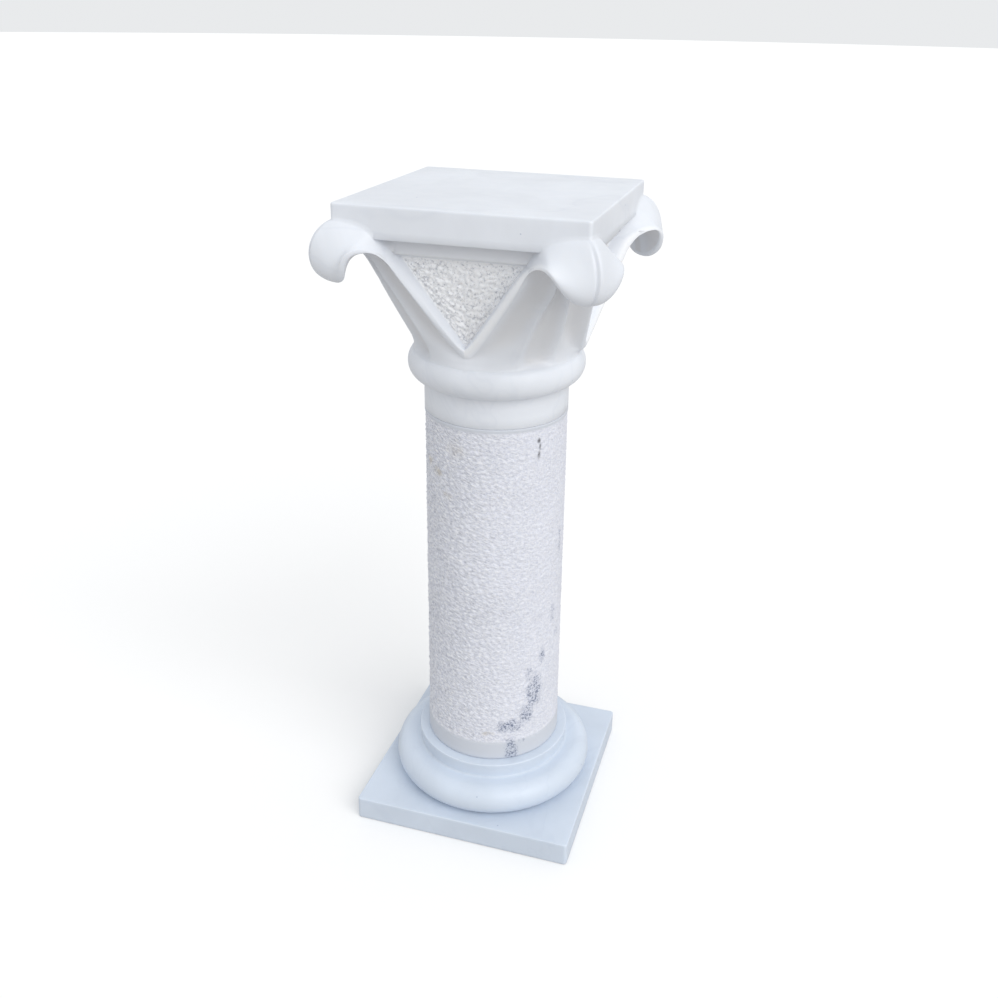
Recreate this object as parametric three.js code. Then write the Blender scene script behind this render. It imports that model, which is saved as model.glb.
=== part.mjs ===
// Marble pedestal column, one metre tall, cut in three blocks that stand one on the other.
// Millimetres, +Z up. The origin is the middle of the plinth's underside. The front faces -Y.
// The square slabs have their sides square to X and Y, and the corner leaves lie on the diagonals.
//
// Every block is a ring of upright half sections, called columns, at chosen angles round the Z axis.
// A column runs from the middle of the block's underside, out and up its skin, to the middle of its top.

import * as THREE from "three";

// Driving dimensions of the whole column
const TOTAL_HEIGHT = 1000;
const SLAB_HALF = 175;        // half the side of the plinth and of the abacus
const JOINT_GAP = 0.3;        // open joint between two blocks

// Base: square plinth, torus and a narrow ring under the shaft
const PLINTH_HEIGHT = 37;
const TORUS_REACH = 162;
const TORUS_TOP = 86;
const RING_RADIUS = 123.5;
const RING_LEAN = 2.5;        // the ring is this much narrower at its foot
const BASE_TOP = 110;
const SLAB_ARRIS = 1.5;       // worn edge of plinth and abacus

// Shaft: a smooth band at the foot, and a bush-hammered body that is cut back a little
const SHAFT_RADIUS = 108;
const BAND_TOP = 141;
const ROUGH_DEPTH = 1.8;
const MARGIN_HEIGHT = 4;      // smooth margin under the upper joint
const SHAFT_TOP = 681;

// Capital: necking, astragal, leaves, abacus
const NECKING_TOP = 726;
const ASTRAGAL_TOP = 780;
const ASTRAGAL_REACH = 131.7;
const ASTRAGAL_END = 44;      // degrees above straight out, where the leaves stand on the astragal
const ABACUS_FOOT = 956;

// Leaf edge where two leaves meet in a V on each face, in face coordinates:
// x sideways from the middle of the face, y out of the face, z up
const V_ROOT_HEIGHT = 775.5;  // where the two straight edges would cross
const V_ROOT_REACH = 117.1;
const V_ROUNDING = 18;        // the edges round off this far above their crossing
const V_SPREAD = 0.65;        // sideways for each millimetre up
const V_REACH_SLOPE = 0.385;  // outward for each millimetre up
const V_END = 87;             // sideways, where the straight edge ends and the hood begins

// The hoods on the diagonals back right, back left, front left and front right, each a little
// different. The edge of a hood runs over the top of an arch and round a lip to the tip. Places are
// given out along the diagonal, across it and up. "lip" is the width at which the edge turns down,
// "crook" how far it runs on outward past the arch, and "swell" how much the hood stands out.
const HOODS = [
  { arch: [229, 57, 936], tip: [243, 0, 884], lip: 47, crook: 27, swell: 12 },
  { arch: [227, 54, 940], tip: [239, 0, 892], lip: 42, crook: 30, swell: 4 },
  { arch: [227, 53.6, 942], tip: [237, 0, 895], lip: 45.5, crook: 37, swell: 11 },
  { arch: [228, 53.5, 938], tip: [243, 0, 894], lip: 36, crook: 23, swell: 1 },
];
const RISE_HANDLE = 1.1;      // how strongly the V's slope carries on up to the arch
const ARCH_APPROACH = 18;     // how far in from its top the arch runs level
const HOOD_BULGE = 48;        // how far the rounded lip swells past its own edge, on the diagonal
const HOOD_SHOULDER = 41;     // how far the hood leans out again under the abacus
const SHOULDER_DROP = 15;
const BULGE_END = 21;         // degrees off the diagonal where the hood has flattened into the band
const BAND_CROWN = 7;         // the band between lip and panel is rounded by this much
const BAND_LEAVE = 0.3;       // share of the band's width over which its ends run straight
const ROLL_LEAN = [0.15, 0.6]; // out and up, how the left rim of each leaf rolls, as shares of the band
const HOOD_HALF_ANGLE = 12.2; // degrees either side of the diagonal in which the hood meets the abacus
const HOOD_RISE = 22;         // height of the hood's arched foot on the abacus, over ABACUS_FOOT
const POCKET_HEIGHT = 8;      // dark pocket under the abacus beside each hood
const VEIN_DEPTH = 2.5;       // groove down the middle of each hood
const VEIN_HALF_ANGLE = 0.9;

// Stem of each leaf, below the hood, with two ridges that part three hollow flutes
const STEM_FOOT = 772;
const STEM_START = 113.6;     // reach of the leaf's middle line at its foot
const STEM_SLOPE = 0.55;      // outward for each millimetre up
const STEM_FLARE = 9;         // the stem's foot spreads by this much
const FLARE_HEIGHT = 30;
const STEM_TOP = 912;         // the hollow under the hood begins here
const HOLLOW_TOP = 939;
const HOLLOW_RISE = 36;       // steepness with which the stem turns into the hollow
const HOOD_BLEND_ANGLE = 18;  // degrees off the diagonal where the stem starts to turn into the hollow
const ARCH_ANGLE = 14;        // degrees off the diagonal of the top of the arches
const RIDGE_FOOT = 28;        // across the leaf, from its middle line to a ridge
const RIDGE_HEAD = 11;
const RIDGE_HEAD_HEIGHT = 892;
const RIDGE_BOW = 2.6;        // the ridges close in late, near their heads
const FLUTE_DEPTH = 15;
const FLUTE_FADE = 9;         // the flutes come up out of the astragal in this height
const CHANNEL_SKEW = 0.06;    // at its foot the channel is narrow and lies close under the rim
const CHANNEL_SHARE = 0.35;   // and this much as deep as further up
const CHANNEL_FOOT = 780;
const CHANNEL_HEIGHT = 60;    // height in which the channel opens up
const RIM_START = 0.12;       // share of the edge's height in which the stem turns out to the rim
const RIM_HANDLE = 0.4;       // how strongly the stem's slope carries on into that turn

// Sunk panel and strip on each face, in face coordinates
const PANEL_FOOT = { y: 118, z: 803 };
const PANEL_HEAD = { x: 86, y: 148, z: 930 };
const STRIP_FOOT = 935;
const STRIP_REACH = 155;

// Hand work is uneven. On each face, right, back, left and front, the foot of the V is turned by
// some degrees, and bellies out and hangs down by some millimetres.
const UNEVEN_FACES = [
  { turn: 0, belly: 11, drop: 9 },
  { turn: 0, belly: 0, drop: 0 },
  { turn: 0, belly: 0, drop: 0 },
  { turn: -3.4, belly: 0, drop: 0 },
];

// One white marble for all three blocks
const MARBLE = { color: 0xeef0f4, roughness: 0.45, metalness: 0 };

const DEGREE = Math.PI / 180;
const DIAGONAL = 45;

const mix = (a, b, f) => a + (b - a) * f;
const clamp01 = (v) => Math.min(1, Math.max(0, v));
const smooth = (v) => clamp01(v) ** 2 * (3 - 2 * clamp01(v));

// Point at fraction f of a cubic Bezier curve whose four points are equal-length arrays
function bezier(points, f) {
  const g = 1 - f;
  const weights = [g * g * g, 3 * g * g * f, 3 * g * f * f, f * f * f];
  return points[0].map((_, axis) => weights.reduce((sum, w, k) => sum + w * points[k][axis], 0));
}

// Points of a circular arc in a half section, angles in degrees from straight out, both ends included
function arc(centre, radius, from, to, steps) {
  const points = [];
  for (let i = 0; i <= steps; i++) {
    const angle = mix(from, to, i / steps) * DEGREE;
    points.push([centre[0] + radius * Math.cos(angle), centre[1] + radius * Math.sin(angle)]);
  }
  return points;
}

// Reach of a flat side at the given distance, at an angle off that side's middle
const flatReach = (distance, offMiddle) => distance / Math.cos(offMiddle * DEGREE);

// Angle off the middle of the nearest flat side
function angleOffSide(angle) {
  const turn = ((angle % 90) + 90) % 90;
  return turn > DIAGONAL ? turn - 90 : turn;
}

// Closed solid from columns at the given angles, all with the same number of points.
// The first and last point of each column lie on the axis. Equal points are merged.
function columnSolid(angles, sectionAt) {
  const keys = new Map();
  const positions = [];
  const indices = [];
  const grid = angles.map((angle) => sectionAt(angle).map(([r, z]) => {
    const x = r * Math.cos(angle * DEGREE);
    const y = r * Math.sin(angle * DEGREE);
    const key = [x, y, z].map((v) => Math.round(v * 1000)).join();
    if (!keys.has(key)) {
      keys.set(key, positions.length / 3);
      positions.push(x, y, z);
    }
    return keys.get(key);
  }));
  const triangle = (a, b, c) => {
    if (a !== b && b !== c && c !== a) indices.push(a, b, c);
  };
  grid.forEach((column, i) => {
    const next = grid[(i + 1) % grid.length];
    for (let j = 0; j + 1 < column.length; j++) {
      triangle(column[j], next[j], next[j + 1]);
      triangle(column[j], next[j + 1], column[j + 1]);
    }
  });
  const geometry = new THREE.BufferGeometry();
  geometry.setAttribute("position", new THREE.Float32BufferAttribute(positions, 3));
  geometry.setIndex(indices);
  geometry.computeVertexNormals();
  return geometry;
}

const evenAngles = (count) => Array.from({ length: count }, (_, i) => (i * 360) / count);

// Base block

function baseSection(angle) {
  const off = angleOffSide(angle);
  const side = flatReach(SLAB_HALF, off);
  const edge = flatReach(SLAB_HALF - SLAB_ARRIS, off);
  const torusRadius = (TORUS_TOP - PLINTH_HEIGHT) / 2;
  const torusCentre = [TORUS_REACH - torusRadius, PLINTH_HEIGHT + torusRadius];
  return [
    [0, 0],
    [side, 0],
    [side, PLINTH_HEIGHT - SLAB_ARRIS],
    [edge, PLINTH_HEIGHT],
    ...arc(torusCentre, torusRadius, -90, 90, 8),
    [RING_RADIUS - RING_LEAN, TORUS_TOP],
    [RING_RADIUS, BASE_TOP - SLAB_ARRIS],
    [RING_RADIUS - SLAB_ARRIS, BASE_TOP],
    [0, BASE_TOP],
  ];
}

// Shaft block

function shaftSection() {
  const foot = BASE_TOP + JOINT_GAP;
  const top = SHAFT_TOP - JOINT_GAP;
  const rough = SHAFT_RADIUS - ROUGH_DEPTH;
  return [
    [0, foot],
    [SHAFT_RADIUS, foot],
    [SHAFT_RADIUS, BAND_TOP],
    [rough, BAND_TOP + ROUGH_DEPTH],
    [rough, top - MARGIN_HEIGHT - ROUGH_DEPTH],
    [SHAFT_RADIUS, top - MARGIN_HEIGHT],
    [SHAFT_RADIUS, top],
    [0, top],
  ];
}

// Capital block. "off" is an angle off the leaf's diagonal: 0 on the diagonal, 45 in mid face.

// Straight edge of the V, in face coordinates, at a height. Below the V it stays in mid face.
function vEdge(z) {
  const over = Math.sqrt(Math.max(0, (z - V_ROOT_HEIGHT) ** 2 - V_ROUNDING ** 2));
  return { x: V_SPREAD * over, y: V_ROOT_REACH + V_REACH_SLOPE * (z - V_ROOT_HEIGHT) };
}

const toLeaf = ({ x, y }) => ({ s: (x + y) / Math.SQRT2, t: (y - x) / Math.SQRT2 });

// Height of the V's edge at a distance sideways from mid face
const vHeight = (x) => V_ROOT_HEIGHT + Math.hypot(x / V_SPREAD, V_ROUNDING);

// A leaf's whole edge from mid face (0) along the V (to 1), over the arch (to 2) and to the tip (3)
function leafEdge(hood, along) {
  if (along <= 1) {
    const z = vHeight(V_END * along);
    const { s, t } = toLeaf(vEdge(z));
    return [s, t, z];
  }
  const [out, across, up] = hood.arch;
  if (along <= 2) {
    const end = leafEdge(hood, 1);
    const before = leafEdge(hood, 0.9);
    const leave = end.map((v, axis) => v + (v - before[axis]) * RISE_HANDLE);
    return bezier([end, leave, [out - ARCH_APPROACH, across + 1, up], hood.arch], along - 1);
  }
  const overArch = [out + hood.crook, across + 1, up + 3];
  const underLip = [hood.tip[0], hood.lip, hood.tip[2] - 4];
  return bezier([hood.arch, overArch, underLip, hood.tip], along - 2);
}

const PANEL_CORNER = DIAGONAL - Math.atan2(PANEL_HEAD.x, PANEL_HEAD.y) / DEGREE;

// Reach and height of a leaf's edge at an angle off the diagonal, found by halving
function edgeAt(hood, off) {
  let low = 0;
  let high = 3;
  for (let i = 0; i < 40; i++) {
    const middle = (low + high) / 2;
    const [s, t] = leafEdge(hood, middle);
    if (Math.atan2(t, s) / DEGREE > off) low = middle;
    else high = middle;
  }
  const [s, t, z] = leafEdge(hood, low);
  return [Math.hypot(s, t), z];
}

// Reach of the leaf's stem at a height: a bowed line across the leaf from edge to edge
function stemReach(z, off) {
  const { s, t } = toLeaf(vEdge(z));
  const middle = STEM_START + STEM_SLOPE * (z - STEM_FOOT);
  const bow = (middle - s) / (t * t);
  const cosine = Math.cos(off * DEGREE);
  const square = bow * Math.sin(off * DEGREE) ** 2;
  if (square < 1e-7) return middle / cosine;
  return (Math.sqrt(cosine * cosine + 4 * square * middle) - cosine) / (2 * square);
}

// Distance down the leaf from the rim of the V, square to the rim
function belowRim(r, z, off) {
  const sideways = (r * Math.sin((DIAGONAL - off) * DEGREE)) / V_SPREAD;
  const level = Math.hypot(sideways, V_ROUNDING);
  const slope = sideways / (V_SPREAD * level);
  return Math.max(V_ROOT_HEIGHT + level - z, 0) / Math.hypot(1, slope);
}

// Depth of the middle flute, and of the channel that runs under the rim and round the foot of the V
function fluteDepth(r, z, off) {
  const across = r * Math.sin(off * DEGREE);
  const climb = clamp01((z - STEM_FOOT) / (RIDGE_HEAD_HEIGHT - STEM_FOOT));
  const ridge = mix(RIDGE_FOOT, RIDGE_HEAD, climb ** RIDGE_BOW);
  const below = belowRim(r, z, off);
  const opening = smooth((z - CHANNEL_FOOT) / CHANNEL_HEIGHT);
  const lean = mix(CHANNEL_SKEW, 1, opening);
  const channel = below > 0 ? below / (below + lean * Math.max(across - ridge, 0)) : 0;
  const f = across < ridge ? (across / ridge + 1) / 2 : channel;
  const share = mix(1, mix(CHANNEL_SHARE, 1, opening), smooth((across - ridge) / 8));
  return FLUTE_DEPTH * 4 * f * (1 - f) * share * smooth((z - STEM_FOOT) / FLUTE_FADE);
}

// Profile under the leaf, up the stem and through the hollow of the hood to the leaf's edge
function underLeaf(off, edge, stemSteps, roofSteps) {
  const onHood = off < ARCH_ANGLE;
  const vTop = edge[1] - RIM_START * (edge[1] - STEM_FOOT);
  const top = onHood ? STEM_TOP : Math.min(STEM_TOP, vTop);
  const points = [];
  for (let i = 0; i <= stemSteps; i++) {
    const z = mix(STEM_FOOT, top, i / stemSteps);
    const r = stemReach(z, off);
    const flare = STEM_FLARE * (1 - clamp01((z - STEM_FOOT) / FLARE_HEIGHT)) ** 2;
    points.push([r + flare - fluteDepth(r, z, off), z]);
  }
  const head = points[points.length - 1];
  const plain = stemReach(top, off);
  const lean = plain - stemReach(top - 1, off);
  const inHood = smooth((HOOD_BLEND_ANGLE - off) / (HOOD_BLEND_ANGLE - ARCH_ANGLE));
  const rise = mix(RIM_HANDLE * (edge[1] - top), HOLLOW_RISE, inHood);
  const leave = [head[0] + lean * rise, top + rise];
  const roofHandle = (8 * HOLLOW_TOP - STEM_TOP - 3 * (STEM_TOP + HOLLOW_RISE) - edge[1]) / 3;
  const share = clamp01(off / ARCH_ANGLE) ** 3;
  const over = [
    mix(mix(edge[0], plain, 0.4), mix(edge[0] - 4, mix(edge[0], plain, 0.3), share), inHood),
    mix(mix(edge[1], top, 0.2), roofHandle, inHood),
  ];
  for (let i = 1; i <= roofSteps; i++) points.push(bezier([head, leave, over, edge], i / roofSteps));
  return points;
}

// Point of the panel's side edge, as its distance out of the face and its height
function panelEdge(off) {
  const slant = Math.tan((DIAGONAL - off) * DEGREE);
  const climb = (slant * PANEL_FOOT.y) / (PANEL_HEAD.x - slant * (PANEL_HEAD.y - PANEL_FOOT.y));
  return [mix(PANEL_FOOT.y, PANEL_HEAD.y, climb), mix(PANEL_FOOT.z, PANEL_HEAD.z, climb)];
}

// Where the leaf's upper side ends: on the abacus, in the pocket under it, or at the panel
function innerEdge(off, offFace) {
  const side = flatReach(SLAB_HALF, offFace);
  const strip = flatReach(STRIP_REACH, offFace);
  if (off <= HOOD_HALF_ANGLE) {
    const past = off / HOOD_HALF_ANGLE;
    return [side, ABACUS_FOOT + HOOD_RISE * (1 - past * past) ** 0.6];
  }
  if (off <= PANEL_CORNER) {
    const beyond = (PANEL_CORNER - off) / (PANEL_CORNER - HOOD_HALF_ANGLE);
    return [mix(strip, side, beyond), mix(STRIP_FOOT, ABACUS_FOOT - POCKET_HEIGHT, beyond)];
  }
  const [out, height] = panelEdge(off);
  return [flatReach(out, offFace), height];
}

// Profile over the leaf from its edge to the abacus, with the sunk panel and strip where they show.
// "offFace" is the angle off the middle of the face, by which flat sides are drawn.
function overLeaf({ off, offFace, swell, rolled }, edge, steps) {
  const side = flatReach(SLAB_HALF, offFace);
  const strip = flatReach(STRIP_REACH, offFace);
  const inner = innerEdge(off, offFace);
  const full = (1 + Math.cos(Math.PI * Math.min(off / BULGE_END, 1))) / 2;
  const span = [inner[0] - edge[0], inner[1] - edge[1]];
  const width = Math.hypot(...span);
  const crown = BAND_CROWN / width;
  const roll = rolled * smooth((off - ARCH_ANGLE) / 5);
  const bandOut = [
    mix(BAND_LEAVE * span[0] + crown * span[1], ROLL_LEAN[0] * width, roll),
    mix(BAND_LEAVE * span[1] - crown * span[0], ROLL_LEAN[1] * width, roll),
  ];
  const bandOver = [crown * span[1] - BAND_LEAVE * span[0], -crown * span[0] - BAND_LEAVE * span[1]];
  const out = [
    edge[0] + mix(bandOut[0], HOOD_BULGE + swell, full),
    edge[1] + mix(bandOut[1], 0, full),
  ];
  const over = [
    inner[0] + mix(bandOver[0], HOOD_SHOULDER + swell, full),
    inner[1] + mix(bandOver[1], -SHOULDER_DROP, full),
  ];
  const points = [];
  for (let i = 1; i <= steps; i++) {
    const f = i / steps;
    const [r, z] = bezier([edge, out, over, inner], f);
    const vein = VEIN_DEPTH * clamp01(1 - off / VEIN_HALF_ANGLE) * (1 - f ** 4);
    points.push([r - vein, z]);
  }
  const onAbacus = off <= HOOD_HALF_ANGLE;
  const onPanel = off > PANEL_CORNER;
  const pocket = [strip, inner[1] - 1];
  points.push(onPanel ? [flatReach(PANEL_HEAD.y, offFace), PANEL_HEAD.z + 1] : inner);
  points.push(onPanel ? [strip, STRIP_FOOT] : onAbacus ? inner : pocket);
  points.push(onAbacus ? inner : [strip, ABACUS_FOOT]);
  points.push(onAbacus ? inner : [side, ABACUS_FOOT]);
  return points;
}

// Half section of the capital. The uneven foot of the V moves the leaf's edge and stem.
function capitalSection(column) {
  const { hood, off, offFace, belly, drop } = column;
  const radius = (ASTRAGAL_TOP - NECKING_TOP) / 2;
  const centre = [ASTRAGAL_REACH - radius, NECKING_TOP + radius];
  const [reach, height] = edgeAt(hood, off);
  const edge = [reach + belly, height - drop];
  const under = underLeaf(off, [reach, height], 5, 5).map(([r, z]) => {
    const share = smooth((z - STEM_FOOT) / (height - STEM_FOOT));
    return [r + belly * share, z - drop * share];
  });
  const side = flatReach(SLAB_HALF, offFace);
  return [
    [0, SHAFT_TOP],
    [SHAFT_RADIUS, SHAFT_TOP],
    ...arc(centre, radius, -83, ASTRAGAL_END, 7),
    ...under,
    ...overLeaf(column, edge, 6),
    [side, TOTAL_HEIGHT - SLAB_ARRIS],
    [flatReach(SLAB_HALF - SLAB_ARRIS, offFace), TOTAL_HEIGHT],
    [0, TOTAL_HEIGHT],
  ];
}

// Angles off the diagonal at which each half leaf is drawn
const LEAF_ANGLES = [
  ...[45, 40, 35, 30, 25.5, 22, 19, 16.8],
  ...[PANEL_CORNER + 0.1, PANEL_CORNER - 0.1, 13.5, HOOD_HALF_ANGLE],
  ...[10, 7, 4, VEIN_HALF_ANGLE, 0],
];

// Every column of the capital, round the axis, with its unevenness
function capitalColumns() {
  const columns = [];
  for (let face = 0; face < 4; face++) {
    const { turn, belly, drop } = UNEVEN_FACES[face];
    for (const sense of [-1, 1]) {
      const hood = HOODS[(face + (sense < 0 ? 3 : 0)) % 4];
      for (const off of LEAF_ANGLES) {
        const shared = (off === 0 && sense === 1) || (off === DIAGONAL && sense === -1);
        if (shared) continue;
        const share = Math.sin(2 * off * DEGREE) ** 2;
        const offFace = sense * (DIAGONAL - off) + turn * share;
        const angle = face * 90 + offFace;
        const swell = hood.swell * smooth(1.4 - off / HOOD_HALF_ANGLE);
        const rolled = sense > 0 ? 1 : 0;
        const uneven = { belly: belly * share, drop: drop * share, swell, rolled };
        columns.push({ angle, hood, off, offFace, ...uneven });
      }
    }
  }
  return columns.sort((a, b) => a.angle - b.angle);
}

function capitalGeometry() {
  const byAngle = new Map(capitalColumns().map((column) => [column.angle, column]));
  return columnSolid([...byAngle.keys()], (angle) => capitalSection(byAngle.get(angle)));
}

function block(name, geometry) {
  const mesh = new THREE.Mesh(geometry, new THREE.MeshStandardMaterial(MARBLE));
  mesh.name = name;
  return mesh;
}

const column = new THREE.Group();
column.add(block("base", columnSolid(evenAngles(48), baseSection)));
column.add(block("shaft", columnSolid(evenAngles(48), shaftSection)));
column.add(block("capital", capitalGeometry()));

export default column;
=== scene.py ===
import math

import bpy
import numpy as np
from mathutils import Matrix, Vector, noise


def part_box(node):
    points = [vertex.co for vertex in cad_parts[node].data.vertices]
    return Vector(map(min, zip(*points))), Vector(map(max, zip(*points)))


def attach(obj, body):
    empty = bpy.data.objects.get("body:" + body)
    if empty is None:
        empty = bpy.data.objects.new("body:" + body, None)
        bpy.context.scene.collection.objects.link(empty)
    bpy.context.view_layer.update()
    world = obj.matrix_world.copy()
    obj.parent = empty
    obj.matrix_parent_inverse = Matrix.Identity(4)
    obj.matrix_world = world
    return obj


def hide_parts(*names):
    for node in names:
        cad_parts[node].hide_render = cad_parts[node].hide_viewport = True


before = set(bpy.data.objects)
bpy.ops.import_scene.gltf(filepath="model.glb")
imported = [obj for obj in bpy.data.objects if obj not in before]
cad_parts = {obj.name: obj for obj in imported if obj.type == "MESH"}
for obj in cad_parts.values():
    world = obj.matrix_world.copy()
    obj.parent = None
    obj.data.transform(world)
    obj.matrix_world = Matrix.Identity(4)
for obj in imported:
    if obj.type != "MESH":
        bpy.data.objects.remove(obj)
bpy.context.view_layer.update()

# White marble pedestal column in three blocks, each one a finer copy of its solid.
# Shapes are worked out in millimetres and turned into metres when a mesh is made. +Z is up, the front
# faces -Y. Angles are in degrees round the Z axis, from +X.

MM = 0.001


def height_of(node, end):
    """Height in millimetres of a solid's underside (end 0) or top (end 1)."""
    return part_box(node)[end].z / MM


# Levels and widths taken from the frame
BASE_TOP = height_of("base", 1)
SHAFT_FOOT = height_of("shaft", 0)
SHAFT_TOP = height_of("shaft", 1)
CAPITAL_FOOT = height_of("capital", 0)
TOTAL_HEIGHT = height_of("capital", 1)
SLAB_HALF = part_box("base")[1].x / MM
SHAFT_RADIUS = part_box("shaft")[1].x / MM

# Arrises of all three blocks, and how unevenly they have worn
ARRIS = 3.0
CORNER = 5.0
FOOT_ARRIS = 0.5 * ARRIS
PLINTH_ARRIS = 0.6 * ARRIS
RING_ARRIS = 0.8 * ARRIS
JOINT_ARRIS = 0.9
WEAR_LENGTH = 60
FOOT_WEAR_LENGTH = 45
FOOT_WEAR = 0.8
PLINTH_WEAR = 0.9
ABACUS_WEAR = 1.0
BROAD_WEAR = 0.5
NARROW_WEAR = 0.35
NARROWER = 4                  # the narrow wear is this much finer than the broad wear
APART = 90                    # far enough away in the noise to look unrelated
LARGEST_ROUNDING = 0.45       # of the shorter of two lines that meet in a corner

# Base
PLINTH_HEIGHT = 37
TORUS_REACH = 162
TORUS_TOP = 86
TORUS_START = -88             # degrees below straight out, where the torus meets the plinth
TORUS_MARGIN = 0.6
RING_RADIUS = 123.5
RING_LEAN = 2.5

# Shaft
BAND_TOP = 141
MARGIN_HEIGHT = 4             # smooth margin under the upper joint
EDGE_ROW = 1.2                # between a smooth edge and the first row of the tooling
TOOLING_START = 2.4           # heights in which the tooling comes up to its full depth
TOOLING_END = 4
LEAST_DEPTH = 2.16            # depth of the tooling on its fine side and on its bold side
MOST_DEPTH = 3.6
BOLDEST = -155                # the side where the tooling is boldest
LEAST_BOLD = 0.08             # how much of the strokes' light and shade is left on the fine side
BOLD_NARROWING = 1.5
STROKE_SLANT = -20
STROKE_LENGTH = 7.0
STROKE_WIDTH = 2.6
FINE_STROKE_WIDTH = 1.9
STROKE_SHARE = 0.75
WOBBLE = 2.2
WOBBLE_LENGTH = 22
WOBBLE_PLANE = 3.0            # planes in the noise from which wobble, strokes and patches are read
STROKE_PLANE = 0.0
PATCH_PLANE = 11.0
PATCH_SHARE = 0.2
PATCH_LENGTH = 34
BACK = 90
CROSSING = 15                 # degrees in which two runs of strokes cross over at the back

# The V between two leaves, and the leaf's edge along it
V_ROOT_HEIGHT = 775.5         # where the two straight edges would cross
V_ROOT_REACH = 117.1
V_ROUNDING = 18
V_SPREAD = 0.65               # sideways for each millimetre up
V_REACH_SLOPE = 0.385         # outward for each millimetre up
V_END = 87                    # sideways, where the straight edge ends and the hood begins
RISE_HANDLE = 1.1             # how strongly the V's slope carries on up to the arch
TANGENT_POINTS = 20           # last points of the V that give this slope
ARCH_APPROACH = (-18, 1, 0)
CROOK_ACROSS = 1
CROOK_UP = 3
LIP_DROP = 4
RIM_ROUNDING = 12
HOOD_ROUNDING = 8

# Capital
NECKING_TOP = 726
NECKING_MARGIN = 0.5
ASTRAGAL_TOP = 780
ASTRAGAL_REACH = 131.7
ASTRAGAL_START = -82
ASTRAGAL_END = 44             # degrees above straight out, where the leaves stand on the astragal
BED_RADIUS = 60               # an inner ring of points on the capital's bed
ABACUS_FOOT = 956
STRIP_FOOT = 935
STRIP_REACH = 155
COVE_LEAD = 2                 # the cove over the strip starts this far out past it
COVE_DEPTH = 4                # and is hollowed in by this much
ARCH_ANGLE = 14.0             # degrees off the diagonal of the top of the arches
HOOD_BULGE = 40               # how far the rounded lip swells past its own edge, on the diagonal
HOOD_SHOULDER = 36            # how far the hood leans out again under the abacus
SHOULDER_DROP = 15
HOOD_HALF_ANGLE = 12.2        # degrees off the diagonal in which the hood meets the abacus
HOOD_RISE = 22                # height of the hood's arched foot on the abacus
HOOD_FOOT_ROUND = 0.6
BULGE_END = 21                # degrees off the diagonal where the hood has flattened into the band
BAND_CROWN = 7                # the band between rim and panel is rounded by this much
BAND_LEAVE = 0.3              # share of the band's width over which its ends run straight
ROLL_LEAN = (0.15, 0.6)       # out and up, how the left rim of each leaf rolls, as shares of the band
ROLL_SPREAD = 5               # degrees in which the roll sets in
ROUNDING_SPREAD = 4
SWELL_REACH = 1.4             # the swell fades out past the hood's foot on the abacus
VEIN_DEPTH = 3
VEIN_HALF_ANGLE = 0.7
VEIN_FADE = 4

# Stem and flutes under the leaf
STEM_FOOT = 772
STEM_START = 113.6            # reach of the leaf's middle line at its foot
STEM_MEETING = 2.5            # degrees in which two leaves run together at mid face
STEM_FLARE = 9                # the stem's foot spreads by this much
FLARE_HEIGHT = 30
STEM_SLOPE = 0.55
STEM_TOP = 912                # the hollow under the hood begins here
HOLLOW_TOP = 939
HOLLOW_RISE = 36
HOLLOW_INSET = 4
HOOD_BLEND_ANGLE = 18
RIM_START = 0.12              # share of the edge's height in which the stem turns out to the rim
RIM_HANDLE = 0.4              # how strongly the stem's slope carries on into that turn
RIM_REACH = 0.4               # last handle of that turn, as shares of the way from edge to stem
RIM_DROP = 0.2
HOLLOW_REACH = 0.3            # the same outward for the hollow, at the top of the arch
RIDGE_FOOT = 28               # across the leaf, from its middle line to a ridge
RIDGE_HEAD = 11
RIDGE_HEAD_HEIGHT = 892
RIDGE_BOW = 2.6               # the ridges close in late, near their heads
RIDGE_WIDTH = 8
FLUTE_DEPTH = 15
FLUTE_SOFTNESS = 3
FLUTE_FADE = 9
CHANNEL_FOOT = 780
CHANNEL_HEIGHT = 60
CHANNEL_SKEW = 0.06           # at its foot the channel is narrow and lies close under the rim
CHANNEL_SHARE = 0.35          # and this much as deep as further up

# Rough panels, as places at mid face and at the upper corners
PANEL_FOOT = (118, 803)
PANEL_HEAD = (86, 148, 930)
PANEL_SINK = 3
PANEL_LEDGE = 1.5
PANEL_ROUGHNESS = 2.6
PANEL_MARGIN = 3
CHIP_LENGTH = 4.8
SMALL_CHIP_LENGTH = 3.0
SMALL_CHIP_SHARE = 0.7
SMALL_CHIP_PLACE = 300

# How much shade is painted under the leaves and in the cove, and how far the painted highlight on the
# rolled rim reaches
PAINTED_SHADE_PLAIN = 0.15
PAINTED_SHADE_GAIN = 1.3
COVE_PAINTED_SHADE = 0.7
HIGHLIGHT_ROWS = 18                # rows past the leaf's edge over which the painted highlight on the rim lies
HIGHLIGHT_START = 0.3
HIGHLIGHT_ANGLE = 10
HIGHLIGHT_SPREAD = 6

# Points along each stretch of a section. In threes: before, in and after a rounded corner.
FOOT_ROWS = (12, 3, 8)
PLINTH_ROWS = (8, 4, 14)
TORUS_ROWS = 40
GAP_ROWS = 4
RING_ROWS = (9, 5, 16)
BAND_ROWS = 10
TOOLED_ROWS = 266
MARGIN_ROWS = 3
NECKING_ROWS = 4
ASTRAGAL_ROWS = 14
V_POINTS = 200
RISE_POINTS = 150
LIP_POINTS = 300
STEM_POINTS = 60
ROOF_POINTS = 80
HOOD_POINTS = 110
UNDER_ROWS = 36
LEAF_ROWS = (UNDER_ROWS, 9, 22)
PANEL_ROWS = 78
COVE_ROWS = 8
SOFFIT_ROWS = 3
SLAB_ROWS = (5, 4, 6)

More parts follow.
